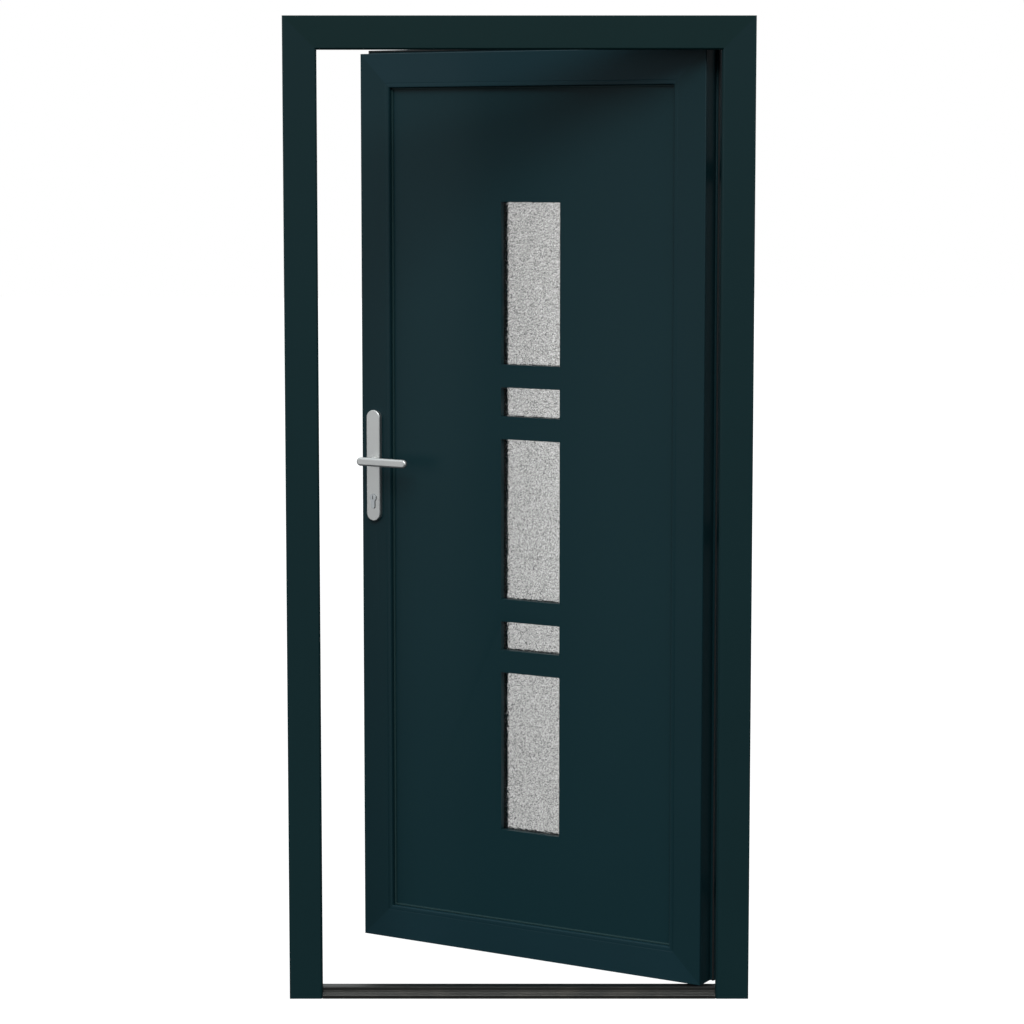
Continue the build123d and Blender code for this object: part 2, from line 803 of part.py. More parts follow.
with BuildPart() as glass_retainers:
    for span in slot_spans:
        slot_block(span, slot_seat - fit, (glass_back, panel_back + retainer_depth))
        slot_block(span, slot_seat + retainer_rim, (panel_back, panel_back + retainer_depth))
        slot_block(span, 0, (glass_back - fit, panel_back + retainer_depth + overrun), mode=Mode.SUBTRACT)
save_on_leaf(glass_retainers.part, "glass_retainers")

# Glazing beads, clipped into the sash inside and mitred at the corners
bead_front = panel_back + panel_seal - leaf_front


def bead_section(plane):
    """Hollow glazing bead with a sloped inside face."""
    bead_end = sash_body + bead_width
    with BuildSketch(plane) as section:
        with BuildLine():
            Polyline(
                (sash_body, bead_front),
                (bead_end, bead_front),
                (bead_end, leaf_depth - bead_slope),
                (bead_end - bead_slope, leaf_depth),
                (sash_body, leaf_depth),
                close=True,
            )
        make_face()
        fillet(section.vertices(), radius=bead_round)
        bead_hollow = (bead_front + sash_wall, leaf_depth - bead_slope)
        chamber((sash_body + sash_wall, bead_end - sash_wall), bead_hollow)
    return section.sketch


bead_planes = {
    "bead_lock_side": (lock_stile_end, stile_length, mitre_top_left, mitre_bottom_left, Keep.BOTTOM),
    "bead_hinge_side": (hinge_stile_end, stile_length, mitre_top_right, mitre_bottom_right, Keep.BOTTOM),
    "bead_top": (top_rail_end, rail_length, mitre_top_left, mitre_top_right, Keep.TOP),
    "bead_bottom": (bottom_rail_end, rail_length, mitre_bottom_left, mitre_bottom_right, Keep.TOP),
}
for name, (plane, length, first_mitre, second_mitre, side_kept) in bead_planes.items():
    with BuildPart() as bead:
        extrude(bead_section(plane), amount=length)
        split(bisect_by=first_mitre, keep=side_kept)
        split(bisect_by=second_mitre, keep=side_kept)
    save_on_leaf(bead.part, name)


def seal_ring(inset, width, y_range):
    """A seal round the leaf, a given distance in from its edge."""
    outer = leaf_half - inset
    low = leaf_bottom + inset
    high = leaf_top - inset
    through = (y_range[0] - running, y_range[1] + running)
    block((-outer, outer), y_range, (low, high))
    block((width - outer, outer - width), through, (low + width, high - width), mode=Mode.SUBTRACT)


# Seals of the leaf: on both faces of the panel, and on the flange that laps the frame
flange_seal = (flange_lap - frame_rebate + leaf_lap) * flange_seal_share
flange_seal_edge = flange_lap - (flange_lap - frame_rebate + leaf_lap - flange_seal) / 2
with BuildPart() as leaf_seal:
    seal_back = seal_width + panel_seal
    seal_ring(sash_face - seal_back, seal_width, (panel_front - panel_seal, panel_front))
    seal_ring(sash_body + bead_width - seal_back, seal_width, (panel_back, panel_back + panel_seal))
    flange_y = leaf_back - flange_depth
    flange_seal_y = (flange_y - seal_gap + seal_press, flange_y)
    seal_ring(-flange_seal_edge, flange_seal, flange_seal_y)
    block(
        (-leaf_half - flange_lap, leaf_half + flange_lap),
        (flange_seal_y[0] - running, flange_seal_y[1] + running),
        (leaf_bottom - sash_over, leaf_bottom),
        mode=Mode.SUBTRACT,
    )
save_on_leaf(leaf_seal.part, "leaf_gasket")

# Lock: a long faceplate let into the leaf's edge, a main case and two end cases behind it
faceplate_inner = -leaf_half + faceplate_depth
with BuildPart() as lock_faceplate:
    block((-leaf_half, faceplate_inner), faceplate_y, faceplate_z)
    fillet(lock_faceplate.edges().filter_by(Axis.X), radius=faceplate_round)
    bolt_pockets((-leaf_half - fit, faceplate_inner + fit), fit)
save_on_leaf(lock_faceplate.part, "lock_faceplate")

rod_x = (faceplate_inner + fit, faceplate_inner + fit + rod_depth)
rod_y = (lock_line - rod_width / 2, lock_line + rod_width / 2)


def open_case(length, z_range):
    """Thin-walled lock case behind the faceplate, open towards it, slotted at its ends for the rods."""
    wall_y = (faceplate_y[0] + case_wall, faceplate_y[1] - case_wall)
    block((faceplate_inner, faceplate_inner + length), faceplate_y, z_range)
    block(
        (faceplate_inner - fit, faceplate_inner + length - case_wall),
        wall_y,
        (z_range[0] + case_wall, z_range[1] - case_wall),
        mode=Mode.SUBTRACT,
    )
    block(
        (faceplate_inner - fit, rod_x[1] + fit),
        (rod_y[0] - fit, rod_y[1] + fit),
        (z_range[0] - overrun, z_range[1] + overrun),
        mode=Mode.SUBTRACT,
    )


with BuildPart() as lock_case:
    open_case(case_length, (lever_height - case_below, lever_height + case_above))
    bar_across(neck_radius, lock_x, lever_height, through_leaf, mode=Mode.SUBTRACT)
    across_leaf = through_leaf[1] - through_leaf[0]
    extrude(cylinder_outline(through_leaf[0], fit), amount=across_leaf, mode=Mode.SUBTRACT)
save_on_leaf(lock_case.part, "lock_case")

for name, height in (("upper_lock_case", upper_height), ("lower_lock_case", lower_height)):
    with BuildPart() as end_case:
        open_case(end_case_length, (height - end_case_half, height + end_case_half))
    save_on_leaf(end_case.part, name)

# Drive rods behind the faceplate, which carry the key's turn to the end cases
rod_spans = {
    "upper_drive_rod": (lever_height + case_above - rod_entry, upper_height - end_case_half + rod_entry),
    "lower_drive_rod": (lower_height + end_case_half - rod_entry, lever_height - case_below + rod_entry),
}
for name, z_range in rod_spans.items():
    with BuildPart() as drive_rod:
        block(rod_x, rod_y, z_range)
    save_on_leaf(drive_rod.part, name)

# Bolts, drawn back flush with the faceplate
bolt_y = (lock_line - bolt_thick / 2, lock_line + bolt_thick / 2)
for name, height, tall in (
    ("dead_bolt", dead_height, dead_bolt_height),
    ("upper_bolt", upper_height, end_bolt_height),
    ("lower_bolt", lower_height, end_bolt_height),
):
    with BuildPart() as bolt:
        block((-leaf_half, -leaf_half + dead_bolt_length), bolt_y, (height - tall / 2, height + tall / 2))
        chamfer(bolt.faces().sort_by(Axis.X)[0].edges(), length=bolt_edge)
    save_on_leaf(bolt.part, name)

# Latch: a bevelled nose, and a tail with a hook that the follower's arm pulls back
with BuildPart() as latch_bolt:
    latch_tip = -leaf_half - latch_reach
    tail_low = latch_z - latch_tail_drop
    hook_x = (-leaf_half + latch_hook_start, -leaf_half + latch_hook_start + latch_hook_width)
    nose_z = (latch_z - latch_height / 2, latch_z + latch_height / 2)
    block((latch_tip, latch_tip + latch_length), bolt_y, nose_z)
    chamfer(latch_bolt.edges().filter_by(Axis.Z).sort_by(Axis.X)[:2].sort_by(Axis.Y)[0], length=latch_bevel)
    block((latch_tip + latch_length - fit, hook_x[1]), bolt_y, (tail_low, tail_low + latch_tail_height))
    block(hook_x, bolt_y, (tail_low - latch_hook_drop, tail_low + fit))
save_on_leaf(latch_bolt.part, "latch_bolt")

# Follower: a square-bored disc with an arm, turned by the spindle
with BuildPart() as follower:
    follower_front = (lock_x, lock_line - follower_depth / 2, lever_height)
    follower_face = Plane(follower_front, x_dir=(-1, 0, 0), z_dir=(0, 1, 0))
    with BuildSketch(follower_face):
        Circle(follower_radius)
        Rectangle(
            follower_arm_width,
            follower_arm,
            rotation=-follower_arm_angle,
            align=(Align.CENTER, Align.MIN),
        )
        Rectangle(spindle_side + running + running, spindle_side + running + running, mode=Mode.SUBTRACT)
    extrude(amount=follower_depth)
save_on_leaf(follower.part, "follower")

# Cylinder: a body through the whole leaf, gapped at the cam, and a plug with a keyway at each end
cylinder_y = (leaf_front - plate_thick - cylinder_proud, leaf_back + plate_thick + cylinder_proud)
with BuildPart() as cylinder_body:
    extrude(cylinder_outline(cylinder_y[0], 0), amount=cylinder_y[1] - cylinder_y[0])
    bar_across(
        plug_radius + running,
        lock_x,
        cylinder_height,
        (cylinder_y[0] - overrun, cylinder_y[1] + overrun),
        mode=Mode.SUBTRACT,
    )
    block(
        (lock_x - cylinder_radius - overrun, lock_x + cylinder_radius + overrun),
        (lock_line - cam_width / 2 - fit, lock_line + cam_width / 2 + fit),
        (cylinder_height - cam_radius - fit - fit, cylinder_height + cylinder_radius + overrun),
        mode=Mode.SUBTRACT,
    )
save_on_leaf(cylinder_body.part, "cylinder_body")

with BuildPart() as cylinder_plug:
    bar_across(plug_radius, lock_x, cylinder_height, cylinder_y)
    block(
        (lock_x - cam_lobe_width / 2, lock_x + cam_lobe_width / 2),
        (lock_line - cam_width / 2, lock_line + cam_width / 2),
        (cylinder_height - cam_radius, cylinder_height),
    )
    for y_range in (
        (cylinder_y[0] - overrun, cylinder_y[0] + keyway_depth),
        (cylinder_y[1] - keyway_depth, cylinder_y[1] + overrun),
    ):
        block(
            (lock_x - keyway_width / 2, lock_x + keyway_width / 2),
            y_range,
            (cylinder_height - keyway_height / 2, cylinder_height + keyway_height / 2),
            mode=Mode.SUBTRACT,
        )
save_on_leaf(cylinder_plug.part, "cylinder_plug")

# Handle plates, one on each face of the leaf, clamped together by two screws from inside
screw_tip = leaf_front - plate_screw_bite
screw_seat = leaf_back + plate_thick


def handle_screw(height, clear, mode=Mode.ADD):
    """Long countersunk screw along Y through both plates, or the bore for it."""
    with BuildSketch(Plane((lock_x, 0, height), x_dir=(1, 0, 0), z_dir=(0, 0, 1))) as profile:
        with BuildLine():
            Polyline(
                (0, screw_tip - clear),
                (plate_screw_radius + clear, screw_tip - clear),
                (plate_screw_radius + clear, screw_seat - plate_screw_head_depth),
                (plate_screw_head + clear, screw_seat + clear),
                (0, screw_seat + clear),
                close=True,
            )
        make_face()
    revolve(profile.sketch, axis=Axis((lock_x, 0, height), (0, 1, 0)), mode=mode)


upright = 90
screw_heights = [plate_height - plate_screw_pitch / 2, plate_height + plate_screw_pitch / 2]
for name, outer_y, inner_y in (
    ("outer_handle_plate", leaf_front - plate_thick, leaf_front),
    ("inner_handle_plate", leaf_back + plate_thick, leaf_back),
):
    with BuildPart() as handle_plate:
        plate_centre = (lock_x, inner_y, plate_height)
        with BuildSketch(Plane(plate_centre, x_dir=(1, 0, 0), z_dir=(0, outer_y - inner_y, 0))):
            SlotOverall(plate_length, plate_width, rotation=upright)
        extrude(amount=plate_thick)
        face = handle_plate.faces().filter_by_position(Axis.Y, outer_y - fit, outer_y + fit)[0]
        chamfer(face.edges(), length=plate_edge)
        bar_across(neck_radius + running, lock_x, lever_height, through_leaf, mode=Mode.SUBTRACT)
        extrude(cylinder_outline(through_leaf[0], fit), amount=across_leaf, mode=Mode.SUBTRACT)
        for height in screw_heights:
            handle_screw(height, running, mode=Mode.SUBTRACT)
    save_on_leaf(handle_plate.part, name)

with BuildPart() as handle_screws:
    for height in screw_heights:
        handle_screw(height, 0)
save_on_leaf(handle_screws.part, "handle_screws")

# Levers: a bar with round ends on a neck that turns in its plate, both on one square spindle
spindle_grip = plate_thick + collar_height + collar_height
spindle_y = (leaf_front - spindle_grip, leaf_back + spindle_grip)
for name, face_y, outward in (("outer_lever", leaf_front, -1), ("inner_lever", leaf_back, 1)):
    with BuildPart() as lever:
        grip_y = face_y + outward * (lever_stand - lever_thick / 2)
        grip_x = lock_x + lever_length / 2 - lever_tail
        grip_face = Plane((grip_x, grip_y, lever_height), x_dir=(1, 0, 0), z_dir=(0, outward, 0))
        with BuildSketch(grip_face):
            SlotOverall(lever_length, lever_tall)
        extrude(amount=lever_thick)
        fillet(lever.faces().filter_by(Axis.Y).edges(), radius=lever_round)
        neck_y = sorted((face_y, face_y + outward * (lever_stand - lever_thick / 2 + lever_round)))
        bar_across(neck_radius, lock_x, lever_height, neck_y)
        collar_start = face_y + outward * (plate_thick + fit)
        collar_y = sorted((collar_start, collar_start + outward * collar_height))
        bar_across(collar_radius, lock_x, lever_height, collar_y)
        block(
            (lock_x - spindle_side / 2 - running, lock_x + spindle_side / 2 + running),
            (spindle_y[0] - running, spindle_y[1] + running),
            (lever_height - spindle_side / 2 - running, lever_height + spindle_side / 2 + running),
            mode=Mode.SUBTRACT,
        )
    save_on_leaf(lever.part, name)

with BuildPart() as spindle:
    block(
        (lock_x - spindle_side / 2, lock_x + spindle_side / 2),
        spindle_y,
        (lever_height - spindle_side / 2, lever_height + spindle_side / 2),
    )
save_on_leaf(spindle.part, "spindle")
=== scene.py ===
"""Looks of a panelled front door: foiled profiles, textured glass, satin handles and a ribbed threshold.

Metres. X runs to the right seen from outside, Y from outside to inside, Z up. The leaf stands open.
"""

import math

import bpy
from mathutils import Matrix, Vector


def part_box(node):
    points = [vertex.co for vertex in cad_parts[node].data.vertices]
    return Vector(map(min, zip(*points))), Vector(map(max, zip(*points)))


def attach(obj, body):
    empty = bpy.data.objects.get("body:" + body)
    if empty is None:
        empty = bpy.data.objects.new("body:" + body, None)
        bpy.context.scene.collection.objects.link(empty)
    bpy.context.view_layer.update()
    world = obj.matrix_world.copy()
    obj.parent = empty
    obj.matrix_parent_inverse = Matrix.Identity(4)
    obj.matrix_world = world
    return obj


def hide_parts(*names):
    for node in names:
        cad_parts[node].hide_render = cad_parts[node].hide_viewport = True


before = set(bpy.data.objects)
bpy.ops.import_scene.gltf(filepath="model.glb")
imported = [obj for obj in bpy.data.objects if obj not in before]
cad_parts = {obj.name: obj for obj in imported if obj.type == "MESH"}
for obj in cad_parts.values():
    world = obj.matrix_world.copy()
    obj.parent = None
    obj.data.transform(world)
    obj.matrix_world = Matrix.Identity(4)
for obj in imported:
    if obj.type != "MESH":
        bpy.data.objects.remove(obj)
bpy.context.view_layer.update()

# Frame: two jambs and a head of hollow PVC, welded at mitred corners. The head gets a darker copy of the
# jamb foil as painted shade, so the mitres show a slight change of tone.
# A dark green-grey foil is pressed on, with a leathery grain that breaks up its satin sheen.
# The die leaves the edges of the bars slightly rounded.
edge_round = 0.0004
edge_angle = math.radians(25)
weld_reach = 0.00002
jamb_foil = ("#0f272a", "#0d2326")
head_foil_painted_shade = ("#0b2526", "#092122")
foil_wave = 0.35
foil_grain = 0.0012
foil_relief = 0.0001
plastic_ior = 1.53


def linear(hex_colour):
    """A colour given as sRGB hex, as linear values with full alpha."""
    values = [int(hex_colour[i : i + 2], 16) / 255 for i in (1, 3, 5)]
    return [v / 12.92 if v <= 0.04045 else ((v + 0.055) / 1.055) ** 2.4 for v in values] + [1]


def new_material(name):
    """A material with its Principled shader, as (material, node tree, shader)."""
    material = bpy.data.materials.new(name)
    material.use_nodes = True
    return material, material.node_tree, material.node_tree.nodes["Principled BSDF"]


def add_node(tree, kind, settings=None, values=None, links=None):
    """Add one node: its settings, the values of its sockets, and what is linked into its sockets."""
    node = tree.nodes.new(kind)
    for name, value in (settings or {}).items():
        setattr(node, name, value)
    for name, value in (values or {}).items():
        node.inputs[name].default_value = value
    for name, output in (links or {}).items():
        tree.links.new(output, node.inputs[name])
    return node


def noise(tree, size, detail, roughness=0.5, stretch=(1, 1, 1)):
    """A noise pattern fixed to the piece, with patches of a given size, squeezed along axes by stretch."""
    place = add_node(tree, "ShaderNodeTexCoord").outputs["Object"]
    along = add_node(tree, "ShaderNodeMapping", values={"Scale": stretch}, links={"Vector": place})
    values = {"Scale": 1 / size, "Detail": detail, "Roughness": roughness}
    links = {"Vector": along.outputs["Vector"]}
    return add_node(tree, "ShaderNodeTexNoise", values=values, links=links).outputs["Fac"]


def tint(tree, shader, pattern, dark, light):
    """Blend the base colour between two colours by a pattern."""
    tone = add_node(
        tree,
        "ShaderNodeMix",
        {"data_type": "RGBA"},
        values={"A": linear(dark), "B": linear(light)},
        links={"Factor": pattern},
    )
    tree.links.new(tone.outputs["Result"], shader.inputs["Base Color"])


def gloss(tree, shader, pattern, low, high):
    """Let the roughness run between two values by a pattern."""
    values = {"To Min": low, "To Max": high}
    reach = add_node(tree, "ShaderNodeMapRange", values=values, links={"Value": pattern})
    tree.links.new(reach.outputs["Result"], shader.inputs["Roughness"])


def emboss(tree, shader, pattern, strength, depth):
    """Raise the surface by a pattern, to a given depth."""
    values = {"Strength": strength, "Distance": depth}
    relief = add_node(tree, "ShaderNodeBump", values=values, links={"Height": pattern})
    tree.links.new(relief.outputs["Normal"], shader.inputs["Normal"])


def foiled(name, colour, shade):
    """Foiled PVC in one tone, with a slow drift of shade and a fine grain in sheen and relief."""
    material, tree, shader = new_material(name)
    tint(tree, shader, noise(tree, foil_wave, 2), shade, colour)
    grain = noise(tree, foil_grain, 3, roughness=0.6)
    gloss(tree, shader, grain, 0.38, 0.5)
    emboss(tree, shader, grain, 0.12, foil_relief)
    shader.inputs["IOR"].default_value = plastic_ior
    shader.inputs["Specular IOR Level"].default_value = 0.11
    return material


def dress(names, material, rounded=0):
    """Give CAD pieces a material and, where asked, slightly rounded edges."""
    for name in names:
        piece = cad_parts[name]
        piece.data.materials.clear()
        piece.data.materials.append(material)
        if rounded:
            weld = piece.modifiers.new("weld", "WELD")
            weld.merge_threshold = weld_reach
            bevel = piece.modifiers.new("edges", "BEVEL")
            bevel.width = rounded
            bevel.segments = 2
            bevel.limit_method = "ANGLE"
            bevel.angle_limit = edge_angle
            bevel.harden_normals = True


jamb_pvc = foiled("foiled_pvc_jamb", *jamb_foil)
# The head's foil is a darker copy of the jamb's foil: painted shade for the weaker light that falls on it.
head_pvc_painted_shade = foiled("foiled_pvc_head_painted_shade", *head_foil_painted_shade)
dress(["frame_lock_jamb", "frame_hinge_jamb"], jamb_pvc, edge_round)
dress(["frame_head"], head_pvc_painted_shade, edge_round)

# Steel inside the chambers of the frame and the leaf: square tubes and channels, hot-dip galvanised.
# It only shows at cut ends, as a mottled grey with the spangle that zinc leaves as it sets.
zinc_light = "#a4a9ab"
zinc_dark = "#84898c"
zinc_spangle = 0.008

galvanised, tree, shader = new_material("galvanised_steel")
place = add_node(tree, "ShaderNodeTexCoord")
spangle = add_node(
    tree,
    "ShaderNodeTexVoronoi",
    values={"Scale": 1 / zinc_spangle},
    links={"Vector": place.outputs["Object"]},
)
tint(tree, shader, spangle.outputs["Color"], zinc_dark, zinc_light)
shader.inputs["Metallic"].default_value = 1
shader.inputs["Roughness"].default_value = 0.45
dress(["frame_reinforcement", "leaf_reinforcement"], galvanised)

# Threshold: two dark anodised aluminium sections with a plastic strip between them, ribbed in front.
# Drawing leaves fine lines along the bar, and feet leave it a little paler in patches.
sill_colour = "#4d4d4b"
sill_worn = "#5a5854"
sill_round = 0.001
scuff_patch = 0.0714
draw_line = 0.0006
draw_length = 0.25
draw_relief = 0.0001

anodised, tree, shader = new_material("anodised_sill")
scuff = noise(tree, scuff_patch, 4)
worn_shares = {"From Min": 0.5, "From Max": 0.75}
wear = add_node(tree, "ShaderNodeMapRange", values=worn_shares, links={"Value": scuff})
tint(tree, shader, wear.outputs["Result"], sill_colour, sill_worn)
lines = noise(tree, draw_line, 2, stretch=(draw_line / draw_length, 1, 1))
gloss(tree, shader, lines, 0.3, 0.48)
emboss(tree, shader, lines, 0.2, draw_relief)
shader.inputs["Metallic"].default_value = 1
dress(["threshold_outer", "threshold_inner"], anodised, sill_round)

# Plastic strip in the threshold and the plugs in the feet of the jambs, pressed in from below.
# Both are black nylon, extruded or moulded with a fine matt texture.
nylon_colour = "#17191a"
nylon_round = 0.0003
nylon_grit = 0.0007
nylon_relief = 0.0001

nylon, tree, shader = new_material("black_nylon")
grit = noise(tree, nylon_grit, 2)
gloss(tree, shader, grit, 0.5, 0.7)
emboss(tree, shader, grit, 0.3, nylon_relief)
shader.inputs["Base Color"].default_value = linear(nylon_colour)
shader.inputs["IOR"].default_value = plastic_ior
dress(["threshold_break", "jamb_feet"], nylon, nylon_round)

# Seals: EPDM rubber lips, extruded and pulled into grooves round the frame and the leaf.
# They are black and dull, with a dusty bloom in patches.
rubber_colour = "#090a0b"
rubber_bloom = "#131516"
rubber_round = 0.0006
bloom_patch = 0.03

rubber, tree, shader = new_material("epdm_rubber")
tint(tree, shader, noise(tree, bloom_patch, 5), rubber_colour, rubber_bloom)
shader.inputs["Roughness"].default_value = 0.75
shader.inputs["IOR"].default_value = 1.5
dress(["frame_gasket", "leaf_gasket"], rubber, rubber_round)

# Hinges: cast knuckles screwed to frame and leaf, turning on steel pins.
# They are powder coated to match the foil, with a faint orange-peel skin.
coat_colour = "#1a2a2c"
coat_peel = 0.0018
coat_relief = 0.0002

powder_coat, tree, shader = new_material("powder_coat")
peel = noise(tree, coat_peel, 1)
gloss(tree, shader, peel, 0.28, 0.42)
emboss(tree, shader, peel, 0.2, coat_relief)
shader.inputs["Base Color"].default_value = linear(coat_colour)
for number in (1, 2, 3):
    dress([f"frame_hinge_{number}", f"leaf_hinge_{number}", f"hinge_pin_{number}"], powder_coat, edge_round)

# Leaf: two stiles and two rails of foiled PVC, mitred and welded, with beads clipped in on the inside.
# The rails get a paler, bluer copy of the stile foil as painted light, so the mitres show a change of tone.
stile_foil = ("#0f292e", "#0d252a")
rail_foil_painted_light = ("#132d34", "#11292f")

stile_pvc = foiled("foiled_pvc_stile", *stile_foil)
# The rail foil is a paler copy of the stile foil: painted light.
rail_pvc_painted_light = foiled("foiled_pvc_rail_painted_light", *rail_foil_painted_light)
dress(["leaf_lock_stile", "leaf_hinge_stile", "bead_lock_side", "bead_hinge_side"], stile_pvc, edge_round)
dress(["leaf_top_rail", "leaf_bottom_rail", "bead_top", "bead_bottom"], rail_pvc_painted_light, edge_round)

# Sash edge: the rim of the stiles and rails round the panel, mitred like them, with a rounded front corner.
# It is foiled with the bars, and is modelled on the shut leaf and then swung open with it.
hinge_axis = Vector((0.438, 0.069, 0))
open_angle = math.radians(-30)
leaf_swing = Matrix.Rotation(open_angle, 4, "Z")
leaf_turn = Matrix.Translation(hinge_axis) @ leaf_swing @ Matrix.Translation(-hinge_axis)
daylight_half = 0.3527
daylight_low = 0.0928
daylight_high = 1.9407
edge_width = 0.0118
edge_back = -0.0003
edge_depth = 0.01175
edge_crown = 0.003
crown_angle = math.radians(40)


def swing_open(piece):
    """Turn a finished piece with the open leaf, keeping its place in its mesh, and fix it to the leaf."""
    piece.data.transform(leaf_turn)
    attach(piece, "leaf")


def mitred_rim(name, outside, width, back, depth, crown):
    """A mitred rim round the panel, as far outside its opening as given, with rounded front edges."""
    bpy.ops.object.select_all(action="DESELECT")
    bpy.ops.mesh.primitive_plane_add(
        size=1,
        location=(0, back, (daylight_low + daylight_high) / 2),
        rotation=(math.pi / 2, 0, 0),
    )
    rim = bpy.context.object
    rim.name = name
    rim.scale = (2 * daylight_half + 2 * outside, daylight_high - daylight_low + 2 * outside, 1)
    bpy.ops.object.transform_apply(location=True, rotation=True, scale=True)
    bpy.ops.object.mode_set(mode="EDIT")
    bpy.ops.mesh.select_all(action="SELECT")
    bpy.ops.mesh.inset(thickness=width, depth=0)
    bpy.ops.mesh.delete(type="FACE")
    bpy.ops.mesh.select_all(action="SELECT")
    bpy.ops.mesh.extrude_region_move(TRANSFORM_OT_translate={"value": (0, -depth, 0)})
    bpy.ops.mesh.region_to_loop()
    bpy.ops.mesh.bevel(offset=crown, segments=4, affect="EDGES")
    bpy.ops.mesh.select_all(action="SELECT")
    bpy.ops.mesh.normals_make_consistent(inside=False)
    bpy.ops.object.mode_set(mode="OBJECT")
    bpy.ops.object.shade_smooth_by_angle(angle=crown_angle)
    return rim


sash_edge = mitred_rim("sash_edge", edge_width, edge_width, edge_back, edge_depth, edge_crown)
sash_edge.data.materials.append(stile_pvc)
sash_edge.data.materials.append(rail_pvc_painted_light)
# Faces along the rails take the paler rail foil, with its painted light.
for face in sash_edge.data.polygons:
    beside = daylight_half - abs(face.center.x)
    below = min(face.center.z - daylight_low, daylight_high - face.center.z)
    face.material_index = 1 if below < beside else 0
swing_open(sash_edge)

# Infill panel: a sandwich board held by the beads, with strips round its slots that keep the glass in.
# Both are skinned in the same foil, a shade bluer than the profiles.
panel_foil = ("#0f2a2f", "#0d272c")

panel_skin = foiled("panel_foil", *panel_foil)
dress(["infill_panel", "glass_retainers"], panel_skin, edge_round)

# Glazing: sealed units of two panes, the outer one rolled with a coarse granular relief on its face.
# The relief scatters what lies behind into pale grains, and dark specks are painted into the glass's tint as
# painted shade.
glass_front = 0.013
pane_depth = 0.004
cavity = 0.008
slot_half = 0.0812
grain_size = 0.004
grain_height = 0.0012
grain_step = 0.0012
speck_size = 0.0024
speck_shares = (0.36, 0.44)
glass_tint = "#dddddc"
glass_speck_painted_shade = "#444545"

rolled_glass, tree, shader = new_material("rolled_glass")
# Dark specks painted into the base colour: painted shade for what the relief would darken.
painted_speck_pattern = noise(tree, speck_size, 2, roughness=0.7)
tone = add_node(tree, "ShaderNodeValToRGB", links={"Fac": painted_speck_pattern})
tone.color_ramp.elements[0].position = speck_shares[0]
tone.color_ramp.elements[0].color = linear(glass_speck_painted_shade)
tone.color_ramp.elements[1].position = speck_shares[1]
tone.color_ramp.elements[1].color = linear(glass_tint)
tree.links.new(tone.outputs["Color"], shader.inputs["Base Color"])
shader.inputs["Roughness"].default_value = 0.06
shader.inputs["IOR"].default_value = 1.52
shader.inputs["Transmission Weight"].default_value = 1

grains = bpy.data.textures.new("glass_grains", "CLOUDS")
grains.noise_scale = grain_size
grains.noise_depth = 1

for number in (1, 2, 3, 4, 5):
    node_name = f"glass_unit_{number}"
    low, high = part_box(node_name)
    bottom = low[2]
    top = high[2]
    bpy.ops.object.select_all(action="DESELECT")
    bpy.ops.mesh.primitive_grid_add(
        x_subdivisions=round(2 * slot_half / grain_step),
        y_subdivisions=round((top - bottom) / grain_step),
        size=1,
        location=(0, glass_front, (bottom + top) / 2),
        rotation=(math.pi / 2, 0, 0),
    )
    unit = bpy.context.object
    unit.name = f"granular_glass_{number}"
    unit.scale = (2 * slot_half, top - bottom, 1)
    bpy.ops.object.transform_apply(location=True, rotation=True, scale=True)
    relief = unit.modifiers.new("relief", "DISPLACE")
    relief.texture = grains
    relief.texture_coords = "LOCAL"
    relief.strength = grain_height
    relief.mid_level = 1
    bpy.ops.object.modifier_apply(modifier="relief")
    bpy.ops.object.mode_set(mode="EDIT")
    bpy.ops.mesh.select_all(action="SELECT")
    bpy.ops.mesh.extrude_region_move(TRANSFORM_OT_translate={"value": (0, pane_depth, 0)})
    bpy.ops.transform.resize(value=(1, 0, 1), center_override=(0, glass_front + pane_depth, 0))
    bpy.ops.mesh.primitive_cube_add(
        size=1,
        location=(0, glass_front + pane_depth + cavity + pane_depth / 2, (bottom + top) / 2),
        scale=(2 * slot_half, pane_depth, top - bottom),
    )
    bpy.ops.mesh.select_all(action="SELECT")
    bpy.ops.mesh.normals_make_consistent(inside=False)
    bpy.ops.object.mode_set(mode="OBJECT")
    unit.data.materials.append(rolled_glass)
    swing_open(unit)
    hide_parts(node_name)

# Glazing lip: a dark soft PVC seal that closes the joint between the sash and the panel on the outside.
# It is extruded with a rounded crown that catches a thin line of light, and mitred at the corners.
panel_face = 0.001
lip_width = 0.004
lip_depth = 0.004
lip_round = 0.0015
lip_colour = "#1c3335"
lip_ripple = 0.004

soft_pvc, tree, shader = new_material("dark_soft_pvc")
gloss(tree, shader, noise(tree, lip_ripple, 2), 0.45, 0.6)
shader.inputs["Base Color"].default_value = linear(lip_colour)
shader.inputs["IOR"].default_value = plastic_ior
shader.inputs["Specular IOR Level"].default_value = 0.15

lip = mitred_rim("glazing_lip", 0, lip_width, panel_face, lip_depth, lip_round)
lip.data.materials.append(soft_pvc)
swing_open(lip)

# Spacer bars that hold the panes apart, bonded in round the edge of each unit.
# They are black anodised aluminium, which shows as a dark line round the glass.
spacer_colour = "#08090a"

spacer_bar, tree, shader = new_material("black_anodised")
gloss(tree, shader, noise(tree, draw_line, 2), 0.3, 0.5)
shader.inputs["Base Color"].default_value = linear(spacer_colour)
shader.inputs["Metallic"].default_value = 1
dress(["glass_spacers"], spacer_bar)

# Lock, keeps and fasteners: pressed and turned steel, screwed into the stile and the jambs.
# They are zinc plated, faintly brushed along their length, with a bluish passivated sheen.
zinc_plate = "#a7abad"
brush_width = 0.0005
brush_length = 0.03

